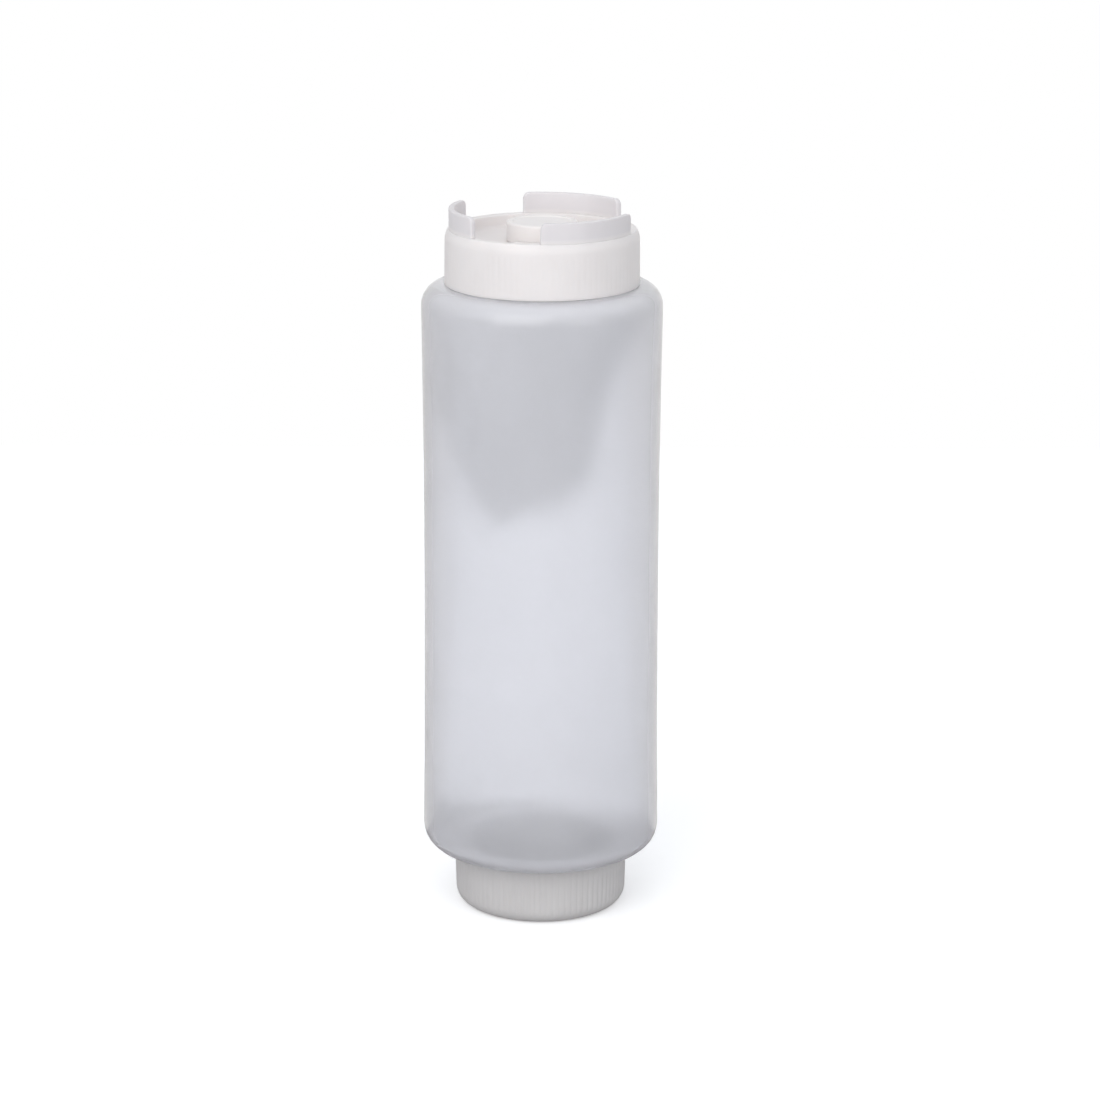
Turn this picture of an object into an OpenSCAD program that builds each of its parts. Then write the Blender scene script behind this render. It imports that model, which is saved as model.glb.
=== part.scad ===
// Two-ended squeeze bottle for sauce, in millimetres.
// It stands on a small ribbed refill cap. A wider dispensing cap on top carries a flip lid
// over a slit valve, and three upright walls that the bottle also stands on upside down.
// The origin is the middle of the base, +Z is up, and -Y is the side that is seen first.

/* [Bottle body] */
// Outer radius just under the shoulder
body_r = 38; // [36:0.25:42]
// Outer radius just above the foot
foot_r = 38; // [36:0.25:42]
// Outer radius at the waist, where the side is narrowest
waist_r = 37.4; // [35:0.1:38]
// Height of the waist above the foot
waist_h = 104; // [40:1:110]
// Height from the foot plane to the shoulder plane
body_h = 184.85; // [130:0.05:240]
// Wall thickness of the body
body_wall = 1.2; // [0.8:0.1:2]
// Rounding between the side and the shoulder
shoulder_round = 6.9; // [3:0.1:8]
// Rounding between the side and the foot
foot_round = 6.8; // [3:0.1:9]

/* [Necks and threads] */
// Outer radius of the dispensing neck, under its thread
top_neck_r = 26.9; // [25:0.1:28]
// Height of the dispensing neck above the shoulder
top_neck_h = 9.6; // [9:0.1:14]
// Outer radius of the refill neck, under its thread
low_neck_r = 24.2; // [22:0.1:26]
// Height of the refill neck below the foot plane
low_neck_h = 15.65; // [11:0.05:20]
// Wall thickness of both necks
neck_wall = 1.9; // [1.5:0.1:2.5]
// Distance between neighbouring thread ridges
thread_pitch = 4; // [3.6:0.1:4.5]
// Number of ridges that start round the neck
thread_starts = 2; // [1:1:2]
// Height that a neck ridge climbs
thread_climb = 4.8; // [3:0.1:5.2]
// Height that a cap ridge climbs
cap_thread_climb = 4.4; // [3:0.1:5]
// How far a ridge stands out of its wall
thread_depth = 1.3; // [0.8:0.1:1.5]
// Width of a ridge at its wall
thread_base = 2.2; // [1.6:0.1:2.4]
// Width of a ridge at its crest
thread_crest = 0.9; // [0.5:0.1:1.2]

/* [Fits] */
// Clearance between pieces that turn or lift against each other
fit_gap = 0.3; // [0.2:0.05:0.5]
// Radial clearance of the hinge pins in their ears
pin_gap = 0.05; // [0.02:0.01:0.1]
// Radial clearance of the valve and its retainer in their bore
bore_gap = 0.1; // [0.05:0.05:0.2]

/* [Seals] */
// Thickness of the two sealing rings
seal_t = 1.5; // [1:0.1:2.5]
// How far a sealing ring reaches inside its neck
seal_reach = 0.8; // [0:0.1:2]

/* [Dispensing cap] */
// Wall thickness of the skirt
cap_wall = 2; // [1.4:0.1:2.6]
// How much the skirt widens from the rim to its lower edge
skirt_draft = 0.15; // [0:0.05:0.5]
// Rounding of the skirt's lower edge
skirt_lip = 0.4; // [0.1:0.1:0.8]
// Thickness of the deck
deck_t = 1.6; // [1.2:0.1:2.4]
// Height of the rim above the deck
rim_rise = 4; // [2.5:0.1:6]
// Width of the rim, from the dish to the outside
rim_w = 3.9; // [3.4:0.1:5]
// Radius of the arc that leans the rim's outside in
rim_round = 6.4; // [3:0.2:9]
// How far that arc leans in, in degrees
rim_lean_a = 33; // [15:1:40]
// Rounding between the dish's side and the deck
dish_round = 1.2; // [0.4:0.1:2]
// Number of grip grooves round the skirt
cap_grooves = 96; // [48:4:108]
// Depth of those grooves
cap_groove_d = 0.12; // [0.08:0.02:0.3]

/* [Standing walls] */
// Height of the walls above the rim
wall_rise = 6.5; // [3:0.1:10]
// Thickness of the walls
wall_t = 1.8; // [1.2:0.1:2.4]
// How far the walls stand in from the outside of the cap
wall_inset = 1.25; // [0.8:0.05:1.8]
// Directions of the walls' middles, in degrees
wall_middles = [67, 186.5, 304.5]; // [0:0.5:360]
// Length of each wall round the rim, in degrees
wall_a = 71; // [50:1:90]
// Rounding of the walls' top corners
wall_corner = 2; // [0.5:0.1:3]
// Rounding of the walls' top edges
wall_edge = 0.35; // [0.1:0.05:0.5]

/* [Outlet] */
// Outer radius of the outlet tower
tower_r = 8.8; // [8.4:0.1:9.1]
// Height of the tower above the deck
tower_h = 4.2; // [3.9:0.1:4.6]
// Radius of the mouth in the tower's top
mouth_r = 6; // [5.8:0.1:6.4]
// Radius of the bore that holds the valve
valve_bore_r = 7.4; // [7.2:0.1:7.7]
// Thickness of the lip over the valve
lip_t = 1.4; // [1:0.1:1.5]
// Thickness of the valve's flange
valve_flange_t = 1.2; // [0.8:0.1:1.4]
// Outer radius of the valve's hanging cup
valve_cup_r = 5; // [4.4:0.1:5.1]
// Depth of that cup below the flange
valve_cup_h = 1.9; // [1.4:0.1:2.4]
// Thickness of the valve's skin
valve_skin = 0.7; // [0.5:0.1:0.9]
// Length of each slit in the valve
slit_l = 6; // [4:0.5:7]
// Width of the slits
slit_w = 0.15; // [0.1:0.05:0.3]
// Inner radius of the valve's retainer
retainer_r = 5.4; // [5.3:0.1:5.8]
// Thickness of the retainer's flange
retainer_flange_t = 1.2; // [0.8:0.1:1.6]

/* [Flip lid] */
// Outer radius of the lid
lid_r = 11.2; // [10.9:0.1:11.4]
// Height of the lid
lid_h = 6.1; // [5.8:0.1:8]
// Wall thickness of the lid's side
lid_wall = 1.2; // [1:0.1:1.4]
// Thickness of the lid's top
lid_t = 1.6; // [1.2:0.1:1.8]
// Rounding of the lid's top edge
lid_round = 0.8; // [0.3:0.1:1]
// Radius of the shallow dish in the lid's top
lid_dish_r = 9.3; // [6:0.1:9.5]
// Depth of that dish
lid_dish_d = 0.4; // [0.2:0.1:0.6]
// Thickness of the plug ring under the lid
plug_wall = 1.2; // [0.8:0.1:1.6]
// How far the plug reaches into the mouth
plug_reach = 1; // [0.5:0.1:1.1]
// How far the thumb tab stands out of the lid
tab_out = 2.4; // [1.5:0.1:3]
// Width of the thumb tab
tab_w = 8; // [5:0.5:10]
// Thickness of the thumb tab
tab_t = 1; // [0.8:0.1:1.2]
// Direction of the hinge from the middle, in degrees
hinge_a = 66; // [60:1:72]
// Distance of the hinge from the middle
hinge_out = 13; // [12.9:0.1:13.6]
// Height of the hinge above the deck
hinge_h = 2.3; // [2.2:0.1:2.8]
// Radius of the hinge pins
pin_r = 0.9; // [0.7:0.05:1]
// Radius of the barrel that carries the pins
barrel_r = 1.5; // [1.2:0.1:1.6]
// Length of the barrel
barrel_l = 6.2; // [5:0.1:7]
// Thickness of each hinge ear
ear_t = 1.6; // [1.2:0.1:2.4]
// Wall round the pin in each ear
ear_wall = 0.95; // [0.8:0.05:1]
// Depth of the finger scoop in the deck
scoop_d = 0.8; // [0.3:0.1:1]
// Width of the finger scoop
scoop_w = 11; // [8:0.5:14]

/* [Refill cap] */
// Wall thickness of the cap at its mouth
refill_wall = 2.1; // [1.6:0.1:2.6]
// How much the outside draws in from the mouth to the base
refill_draft = 0.5; // [0:0.05:0.8]
// Thickness of the cap's base
refill_floor_t = 1.8; // [1.2:0.1:3]
// Rounding of the base's edge
refill_round = 4.8; // [1:0.1:5]
// Number of grip grooves round the cap
refill_grooves = 84; // [42:6:90]
// Depth of those grooves
refill_groove_d = 0.28; // [0.1:0.02:0.4]

/* [Hidden] */

$fn = 96;
arc_steps = 10;
side_steps = 8;
over = 1;

// Heights, from the base up
low_rim_z = refill_floor_t + fit_gap + seal_t + fit_gap;
foot_z = low_rim_z + low_neck_h;
shoulder_z = foot_z + body_h;
top_rim_z = shoulder_z + top_neck_h;
deck_z = top_rim_z + fit_gap + seal_t + fit_gap;
deck_top = deck_z + deck_t;
rim_z = deck_top + rim_rise;
wall_top = rim_z + wall_rise;
refill_mouth_z = foot_z - fit_gap;
skirt_z = shoulder_z + fit_gap;

// The body's side
side_z0 = foot_z + foot_round;
side_z1 = shoulder_z - shoulder_round;
waist_z = foot_z + waist_h;

// Threads: a point of a ridge turns by 360 degrees while it climbs one lead
thread_lead = thread_pitch * thread_starts;
thread_bury = 0.6;
thread_step_a = 6;
fade_a = 24;
fade_end = 0.2;
ridge_reach = thread_base / 2;
lower_gap = 0.5;
// Axial distance from a neck ridge down to the cap ridge that it holds
mesh_slope = (thread_base - thread_crest) / 2 / thread_depth;
ridge_drop = (thread_base + thread_crest) / 2 + fit_gap * (sqrt(1 + mesh_slope * mesh_slope) - mesh_slope);
top_ridge_z = shoulder_z + (top_neck_h - thread_climb) / 2;
low_ridge_z = low_rim_z + ridge_reach + over;

// Radii of the dispensing cap, from the neck outwards
skirt_in = top_neck_r + thread_depth + fit_gap;
skirt_r = skirt_in + cap_wall;
dish_r = skirt_r - rim_w;
wall_out = skirt_r - wall_inset;
wall_in = wall_out - wall_t;
groove_q = 0.5;
skirt_top = rim_z - rim_round * sin(rim_lean_a);
skirt_low_r = skirt_r + skirt_draft;

// The outlet
tower_top = deck_top + tower_h;
lip_z = tower_top - lip_t;
flange_z = lip_z - valve_flange_t;
valve_sag = 0.8;
flange_lap = 1.4;

// The flip lid
lid_z = deck_top + fit_gap;
lid_top = lid_z + lid_h;
lid_under = lid_top - lid_t;
plug_r = mouth_r - fit_gap - bore_gap;
plug_z = tower_top - plug_reach;
hinge_z = deck_top + hinge_h;
ear_in = barrel_l / 2 + fit_gap;
ear_r = pin_r + pin_gap + ear_wall;
pin_l = ear_in + ear_t;
scoop_r = 9;
scoop_out = lid_r + tab_out;

// The refill cap
refill_in = low_neck_r + thread_depth + fit_gap;
refill_r = refill_in + refill_wall;
refill_base_r = refill_r - refill_draft;
refill_lip = 0.5;

// Points of an arc in the plane of a profile, from angle a0 to angle a1
function arc(r, z, q, a0, a1) =
    [for (i = [0 : arc_steps]) let (a = a0 + (a1 - a0) * i / arc_steps) [r + q * cos(a), z + q * sin(a)]];

// A list of points, last one first
function backwards(points) = [for (i = [len(points) - 1 : -1 : 0]) points[i]];

// Outer radius of the body's side, which draws in smoothly to the waist from both ends
function side_r(z) = z < waist_z
    ? waist_r + (foot_r - waist_r) * pow((waist_z - z) / (waist_z - side_z0), 2)
    : waist_r + (body_r - waist_r) * pow((z - waist_z) / (side_z1 - waist_z), 2);

function side_part(z0, z1, d) =
    [for (i = [1 : side_steps - 1]) let (z = z0 + (z1 - z0) * i / side_steps) [side_r(z) - d, z]];

// Outline of the body from the foot to the shoulder, moved inwards by d
function body_outline(d) = concat(
    arc(foot_r - foot_round, side_z0, foot_round - d, -90, 0),
    side_part(side_z0, waist_z, d),
    [[waist_r - d, waist_z]],
    side_part(waist_z, side_z1, d),
    arc(body_r - shoulder_round, side_z1, shoulder_round - d, 0, 90)
);

// One thread ridge, swept from height z0 up to z1 on the wall of radius r.
// side is 1 on the outside of a neck and -1 on the inside of a cap.
// track is the height at which the ridge's helix crosses the X axis.
module ridge(r, side, track, z0, z1) {
    a0 = (z0 - track) / thread_lead * 360;
    a1 = (z1 - track) / thread_lead * 360;
    steps = ceil((a1 - a0) / thread_step_a);
    rings = [for (i = [0 : steps]) let (
        a = a0 + (a1 - a0) * i / steps,
        z = z0 + (z1 - z0) * i / steps,
        fade = max(fade_end, min(1, (a - a0) / fade_a, (a1 - a) / fade_a)),
        root = r - side * thread_bury,
        crest = r + side * thread_depth * fade)
        for (p = [[root, -thread_base / 2], [crest, -thread_crest / 2],
                  [crest, thread_crest / 2], [root, thread_base / 2]])
            [p[0] * cos(a), p[0] * sin(a), z + p[1]]];
    skin = [for (i = [0 : steps - 1], k = [0 : 3]) let (
        low = 4 * i + k,
        next = 4 * i + (k + 1) % 4)
        for (t = [[low, low + 4, next], [next, low + 4, next + 4]]) t];
    first = [[0, 1, 2], [0, 2, 3]];
    end = 4 * steps;
    last = [[end, end + 2, end + 1], [end, end + 3, end + 2]];
    faces = concat(skin, first, last);
    polyhedron(rings, side < 0 ? faces : [for (t = faces) backwards(t)]);
}

// All the ridges of one thread
module thread(r, side, track, z0, z1) {
    for (i = [0 : thread_starts - 1])
        rotate([0, 0, i * 360 / thread_starts])
            ridge(r, side, track, z0, z1);
}

// Grip grooves that are cut in a cap, from radius r0 at height z0 to radius r1 at height z1
module grooves(count, depth, r0, z0, r1, z1) {
    lean = atan((r1 - r0) / (z1 - z0));
    length = norm([r1 - r0, z1 - z0]);
    for (i = [0 : count - 1])
        rotate([0, 0, i * 360 / count])
            translate([r0 + groove_q - depth, 0, z0])
                rotate([0, lean, 0])
                    cylinder(r = groove_q, h = length, $fn = 16);
}

// Turns what lies along +X to the side where the lid's hinge is
module at_hinge() {
    rotate([0, 0, hinge_a])
        children();
}

// Outline in the plane across the hinge, drawn out to both sides of the middle
module across_hinge(length) {
    rotate([90, 0, 0])
        linear_extrude(height = length, center = true)
            children();
}

// Screw cap of the refill end, which the bottle stands on
module refill_cap() {
    track = low_ridge_z - ridge_drop;
    ridge_top = refill_mouth_z - ridge_reach - lower_gap;
    color([0.86, 0.85, 0.84])
    difference() {
        union() {
            rotate_extrude()
                polygon(concat(
                    [[0, 0]],
                    arc(refill_base_r - refill_round, refill_round, refill_round, -90, 0),
                    [
                        [refill_r, refill_mouth_z - refill_lip],
                        [refill_r - refill_lip, refill_mouth_z],
                        [refill_in, refill_mouth_z],
                        [refill_in, refill_floor_t],
                        [0, refill_floor_t],
                    ]));
            thread(refill_in, -1, track, ridge_top - cap_thread_climb, ridge_top);
        }
        grooves(refill_grooves, refill_groove_d, refill_base_r, refill_round / 3,
            refill_r, refill_mouth_z + over);
    }
}

// Sealing ring in the refill cap
module refill_seal() {
    color([0.90, 0.90, 0.88])
    translate([0, 0, refill_floor_t + fit_gap])
        difference() {
            cylinder(r = refill_in - fit_gap, h = seal_t);
            translate([0, 0, -over])
                cylinder(r = low_neck_r - neck_wall - seal_reach, h = seal_t + 2 * over);
        }
}

// Soft blown body, one hollow shell with a threaded neck at each end
module bottle_body() {
    color([0.80, 0.83, 0.88, 0.6]) {
        rotate_extrude()
            polygon(concat(
                [[low_neck_r, low_rim_z], [low_neck_r, foot_z]],
                body_outline(0),
                [
                    [top_neck_r, shoulder_z],
                    [top_neck_r, top_rim_z],
                    [top_neck_r - neck_wall, top_rim_z],
                    [top_neck_r - neck_wall, shoulder_z - body_wall],
                ],
                backwards(body_outline(body_wall)),
                [
                    [low_neck_r - neck_wall, foot_z + body_wall],
                    [low_neck_r - neck_wall, low_rim_z],
                ]));
        thread(top_neck_r, 1, top_ridge_z, top_ridge_z, top_ridge_z + thread_climb);
        thread(low_neck_r, 1, low_ridge_z, low_ridge_z, low_ridge_z + thread_climb);
    }
}

// Sealing ring under the deck of the dispensing cap
module dispensing_seal() {
    color([0.90, 0.90, 0.88])
    translate([0, 0, top_rim_z + fit_gap])
        difference() {
            cylinder(r = skirt_in - fit_gap, h = seal_t);
            translate([0, 0, -over])
                cylinder(r = top_neck_r - neck_wall - seal_reach, h = seal_t + 2 * over);
        }
}

// Skirt, rim, deck and outlet tower, turned round the middle
module cap_round() {
    rotate_extrude()
        polygon(concat(
            [[skirt_in, skirt_z]],
            arc(skirt_low_r - skirt_lip, skirt_z + skirt_lip, skirt_lip, -90, 0),
            arc(skirt_r - rim_round, skirt_top, rim_round, 0, rim_lean_a),
            [[dish_r, rim_z]],
            arc(dish_r - dish_round, deck_top + dish_round, dish_round, 0, -90),
            [
                [tower_r, deck_top],
                [tower_r, tower_top],
                [mouth_r, tower_top],
                [mouth_r, lip_z],
                [valve_bore_r, lip_z],
                [valve_bore_r, deck_z],
                [skirt_in, deck_z],
            ]));
}

// One standing wall, from angle 0 up to wall_a, with its two top corners rounded
module standing_wall() {
    difference() {
        rotate_extrude(angle = wall_a)
            polygon(concat(
                [[wall_in, rim_z - over], [wall_out, rim_z - over]],
                arc(wall_out - wall_edge, wall_top - wall_edge, wall_edge, 0, 90),
                arc(wall_in + wall_edge, wall_top - wall_edge, wall_edge, 90, 180)));
        corner_cut();
        rotate([0, 0, wall_a])
            mirror([0, 1, 0])
                corner_cut();
    }
}

// What is cut away to round a wall's top corner at angle 0
module corner_cut() {
    translate([wall_in - over, 0, wall_top])
        rotate([90, 0, 90])
            linear_extrude(height = wall_t + 2 * over)
                difference() {
                    translate([-over, -wall_corner])
                        square([wall_corner + over, wall_corner + over]);
                    translate([wall_corner, -wall_corner])
                        circle(r = wall_corner);
                }
}

// One ear of the lid's hinge
module hinge_ear() {
    translate([hinge_out, ear_in + ear_t / 2, 0])
        across_hinge(ear_t) {
            difference() {
                union() {
                    translate([-ear_r, deck_top - deck_t / 2])
                        square([2 * ear_r, hinge_h + deck_t / 2]);
                    translate([0, hinge_z])
                        circle(r = ear_r);
                }
                translate([0, hinge_z])
                    circle(r = pin_r + pin_gap);
            }
        }
}

// Shallow hollow in the deck, so that a finger gets under the lid's tab
module finger_scoop() {
    translate([-scoop_out, 0, deck_top - scoop_d + scoop_r])
        rotate([90, 0, 0])
            cylinder(r = scoop_r, h = scoop_w, center = true);
}

// Screw cap of the dispensing end
module dispensing_cap() {
    ridge_low = skirt_z + ridge_reach + lower_gap;
    color([0.93, 0.92, 0.91])
    difference() {
        union() {
            cap_round();
            for (a = wall_middles)
                rotate([0, 0, a - wall_a / 2])
                    standing_wall();
            at_hinge() {
                hinge_ear();
                mirror([0, 1, 0])
                    hinge_ear();
            }
            thread(skirt_in, -1, top_ridge_z - ridge_drop, ridge_low, ridge_low + cap_thread_climb);
        }
        at_hinge()
            finger_scoop();
        grooves(cap_grooves, cap_groove_d, skirt_low_r, skirt_z + skirt_lip + over,
            skirt_r, skirt_top);
    }
}

// Ring that is pushed up into the tower and holds the valve
module valve_retainer() {
    color([0.90, 0.90, 0.89])
    rotate_extrude()
        polygon([
            [retainer_r, deck_z - retainer_flange_t],
            [valve_bore_r + flange_lap, deck_z - retainer_flange_t],
            [valve_bore_r + flange_lap, deck_z],
            [valve_bore_r - bore_gap, deck_z],
            [valve_bore_r - bore_gap, flange_z],
            [retainer_r, flange_z],
        ]);
}

// Height of the valve's skin above its lowest point, at radius r
function skin_z(r) = valve_sag * pow(r / valve_cup_r, 2);

// Soft valve: a flange and a hanging cup, whose hollow floor has two crossed slits
module outlet_valve() {
    floor_z = flange_z - valve_cup_h;
    in_r = valve_cup_r - valve_skin;
    color([0.88, 0.89, 0.90, 0.8])
    difference() {
        rotate_extrude()
            polygon(concat(
                [for (i = [0 : side_steps]) let (r = valve_cup_r * i / side_steps) [r, floor_z + skin_z(r)]],
                [
                    [valve_cup_r, flange_z],
                    [valve_bore_r - bore_gap, flange_z],
                    [valve_bore_r - bore_gap, lip_z],
                    [in_r, lip_z],
                ],
                [for (i = [side_steps : -1 : 0])
                    let (r = in_r * i / side_steps) [r, floor_z + valve_skin + skin_z(r)]]));
        for (a = [0, 90])
            rotate([0, 0, hinge_a + a])
                translate([-slit_l / 2, -slit_w / 2, floor_z - over])
                    cube([slit_l, slit_w, valve_cup_h + over]);
    }
}

// Lid that flips up on its hinge, with the plug that closes the mouth
module flip_lid() {
    lid_in = lid_r - lid_wall;
    color([0.91, 0.90, 0.88]) {
        rotate_extrude()
            polygon(concat(
                [[lid_in, lid_z], [lid_r, lid_z]],
                arc(lid_r - lid_round, lid_top - lid_round, lid_round, 0, 90),
                [
                    [lid_dish_r, lid_top],
                    [lid_dish_r - lid_dish_d, lid_top - lid_dish_d],
                    [0, lid_top - lid_dish_d],
                    [0, lid_under],
                    [plug_r - plug_wall, lid_under],
                    [plug_r - plug_wall, plug_z],
                    [plug_r, plug_z],
                    [plug_r, lid_under],
                    [lid_in, lid_under],
                ]));
        at_hinge() {
            hinge_arm(lid_in);
            thumb_tab();
        }
    }
}

// Arm from the lid's side to the barrel, and the barrel with its two pins
module hinge_arm(from) {
    difference() {
        across_hinge(barrel_l)
            union() {
                translate([from + lid_wall / 2, hinge_z - barrel_r * 0.6])
                    square([hinge_out - from - lid_wall / 2, barrel_r * 1.2]);
                translate([hinge_out, hinge_z])
                    circle(r = barrel_r);
            }
        translate([0, 0, lid_z - over])
            cylinder(r = from + lid_wall / 4, h = lid_h);
    }
    translate([hinge_out, 0, hinge_z])
        rotate([90, 0, 0])
            cylinder(r = pin_r, h = 2 * pin_l, center = true);
}

// Tab under the lid's front edge
module thumb_tab() {
    translate([0, 0, lid_z])
        linear_extrude(height = tab_t)
            difference() {
                intersection() {
                    circle(r = lid_r + tab_out);
                    translate([-lid_r - tab_out, -tab_w / 2])
                        square([lid_r, tab_w]);
                }
                circle(r = lid_r - lid_wall / 2);
            }
}

refill_cap();
refill_seal();
bottle_body();
dispensing_seal();
dispensing_cap();
valve_retainer();
outlet_valve();
flip_lid();
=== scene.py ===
"""Looks of a two-ended squeeze bottle for sauce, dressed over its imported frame. Lengths are in metres."""
import math

import bmesh
import bpy
from mathutils import Euler, Matrix, Vector


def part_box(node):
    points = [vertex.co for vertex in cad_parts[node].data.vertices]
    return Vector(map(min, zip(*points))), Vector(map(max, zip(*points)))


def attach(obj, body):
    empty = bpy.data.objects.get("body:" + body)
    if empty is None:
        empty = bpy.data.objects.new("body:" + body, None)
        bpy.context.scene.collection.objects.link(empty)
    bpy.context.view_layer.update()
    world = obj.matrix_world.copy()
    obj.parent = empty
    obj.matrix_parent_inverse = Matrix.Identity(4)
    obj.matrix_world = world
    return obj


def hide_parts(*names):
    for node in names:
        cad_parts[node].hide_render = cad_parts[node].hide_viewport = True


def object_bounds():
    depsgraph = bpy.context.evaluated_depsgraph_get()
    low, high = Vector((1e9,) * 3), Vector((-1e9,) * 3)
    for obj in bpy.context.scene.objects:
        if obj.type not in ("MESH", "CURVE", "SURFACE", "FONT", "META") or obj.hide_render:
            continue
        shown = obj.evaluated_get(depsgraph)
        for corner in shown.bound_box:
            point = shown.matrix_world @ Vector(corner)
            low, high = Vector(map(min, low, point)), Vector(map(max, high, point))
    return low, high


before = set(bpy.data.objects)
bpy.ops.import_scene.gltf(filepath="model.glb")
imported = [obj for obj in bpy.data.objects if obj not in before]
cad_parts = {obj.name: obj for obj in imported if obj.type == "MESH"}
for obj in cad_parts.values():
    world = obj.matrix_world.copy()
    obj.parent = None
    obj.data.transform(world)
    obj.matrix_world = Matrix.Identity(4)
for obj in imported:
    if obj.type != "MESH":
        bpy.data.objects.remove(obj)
cad_low, cad_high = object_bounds()

MM = 0.001
TURN = math.tau

# Heights and radii that the frame gives
refill_low, refill_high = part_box("refill_cap")
body_low, body_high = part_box("bottle_body")
cap_low, cap_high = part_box("dispensing_cap")
lid_low, lid_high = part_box("flip_lid")
refill_seal_low, refill_seal_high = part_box("refill_seal")
cap_seal_low, cap_seal_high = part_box("dispensing_seal")
ring_low, ring_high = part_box("valve_retainer")
valve_low, valve_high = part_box("outlet_valve")

# Clearances and the thread
GAP = 0.3 * MM
LEAD = 8 * MM
STARTS = 2
THREAD_DEPTH = 1.3 * MM
THREAD_BASE = 2.2 * MM
THREAD_CREST = 0.9 * MM
THREAD_BURY = 0.6 * MM
RIDGE_DROP = (THREAD_BASE + THREAD_CREST) / 2 + 0.185 * MM

# Body
BODY_R = body_high[0]
FOOT_R = 38 * MM
WAIST_R = 37.4 * MM
BODY_WALL = 1.2 * MM
SHOULDER_ROUND = 6.9 * MM
FOOT_ROUND = 6.8 * MM
FOOT_Z = refill_high[2] + GAP
SHOULDER_Z = cap_low[2] - GAP
WAIST_Z = FOOT_Z + 104 * MM
TOP_NECK_R = 26.9 * MM
LOW_NECK_R = 24.2 * MM
NECK_WALL = 1.9 * MM

# Dispensing cap
SKIRT_IN = TOP_NECK_R + THREAD_DEPTH + GAP
SKIRT_R = SKIRT_IN + 2 * MM
SKIRT_LOW_R = cap_high[0]
SKIRT_LIP = 0.15 * MM
WALL_RISE = 6.5 * MM
RIM_Z = cap_high[2] - WALL_RISE
RIM_ROUND = 6.4 * MM
RIM_LEAN = math.radians(33)
SKIRT_TOP = RIM_Z - RIM_ROUND * math.sin(RIM_LEAN)
DISH_R = SKIRT_R - 3.9 * MM
DECK_TOP = lid_low[2] - GAP
DECK_UNDER = cap_seal_high[2] + GAP
TOWER_R = 8.8 * MM
TOWER_TOP = DECK_TOP + 4.2 * MM
MOUTH_R = 6 * MM
LIP_Z = valve_high[2]
VALVE_R = valve_high[0]
BORE_R = VALVE_R + 0.1 * MM
CAP_GROOVES = 96

# Standing walls
WALL_OUT = SKIRT_R - 1.25 * MM
WALL_T = 1.8 * MM
WALL_TURN = math.radians(71)
WALL_MIDDLES = (67, 186.5, 304.5)

# Flip lid and its hinge
HINGE_TURN = math.radians(66)
HINGE_OUT = 13 * MM
HINGE_Z = DECK_TOP + 2.3 * MM
PIN_R = 0.9 * MM
PIN_GAP = 0.05 * MM
BARREL_R = 1.5 * MM
BARREL_L = 6.2 * MM
EAR_T = 1.6 * MM
EAR_R = PIN_R + PIN_GAP + 0.95 * MM
EAR_IN = BARREL_L / 2 + GAP
LID_R = 11.2 * MM
LID_WALL = 1.2 * MM
LID_T = 1.6 * MM
PLUG_R = MOUTH_R - 0.4 * MM
PLUG_WALL = 1.2 * MM
PLUG_Z = TOWER_TOP - 1 * MM
TAB_OUT = 2.4 * MM
TAB_W = 8 * MM
TAB_T = 1 * MM

# Finger scoop in the deck, under the tab
SCOOP_DEEP = 0.8 * MM
SCOOP_W = 11 * MM
SCOOP_R = 9 * MM
SCOOP_SIDE = 0.6 * MM

# Refill cap
REFILL_GROOVES = 84
REFILL_R = refill_high[0]
REFILL_BASE_R = REFILL_R - 0.5 * MM
REFILL_IN = LOW_NECK_R + THREAD_DEPTH + GAP
REFILL_FLOOR = 1.8 * MM
REFILL_ROUND = 4.8 * MM


# Profiles

def rounded(corners, steps=4):
    """Points of a closed profile in the (radius, height) plane. A corner is (r, z) or (r, z, rounding)."""
    points = []
    for i, corner in enumerate(corners):
        p = Vector(corner[:2])
        q = corner[2] if len(corner) > 2 else 0
        if not q:
            points.append(p)
            continue
        to_last = (Vector(corners[i - 1][:2]) - p).normalized()
        to_next = (Vector(corners[(i + 1) % len(corners)][:2]) - p).normalized()
        half = to_last.angle(to_next) / 2
        middle = p + (to_last + to_next).normalized() * (q / math.sin(half))
        start = p + to_last * (q / math.tan(half)) - middle
        end = p + to_next * (q / math.tan(half)) - middle
        swing = start.angle_signed(end)
        for k in range(steps + 1):
            points.append(middle + Matrix.Rotation(-swing * k / steps, 2) @ start)
    return points


def join(bm, part):
    """Adds one closed part to a piece."""
    mesh = bpy.data.meshes.new("part")
    part.to_mesh(mesh)
    part.free()
    bm.from_mesh(mesh)
    bpy.data.meshes.remove(mesh)


def spin_profile(bm, points, steps, closed=True):
    """Turns a profile round the Z axis into a closed skin, an eighth of a turn at a time."""
    sectors = 8
    sector = bmesh.new()
    verts = [sector.verts.new((p[0], 0, p[1])) for p in points]
    pairs = zip(verts, verts[1:] + verts[:1]) if closed else zip(verts, verts[1:])
    edges = [sector.edges.new(pair) for pair in pairs]
    bmesh.ops.spin(sector, geom=verts + edges, cent=(0, 0, 0), axis=(0, 0, 1), dvec=(0, 0, 0),
                   angle=TURN / sectors, steps=steps // sectors, use_merge=False, use_duplicate=False)
    mesh = bpy.data.meshes.new("sector")
    sector.to_mesh(mesh)
    sector.free()
    for i in range(sectors):
        bm.from_mesh(mesh)
        mesh.transform(Matrix.Rotation(TURN / sectors, 4, "Z"))
    bpy.data.meshes.remove(mesh)
    bmesh.ops.remove_doubles(bm, verts=bm.verts, dist=1e-6)


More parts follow.
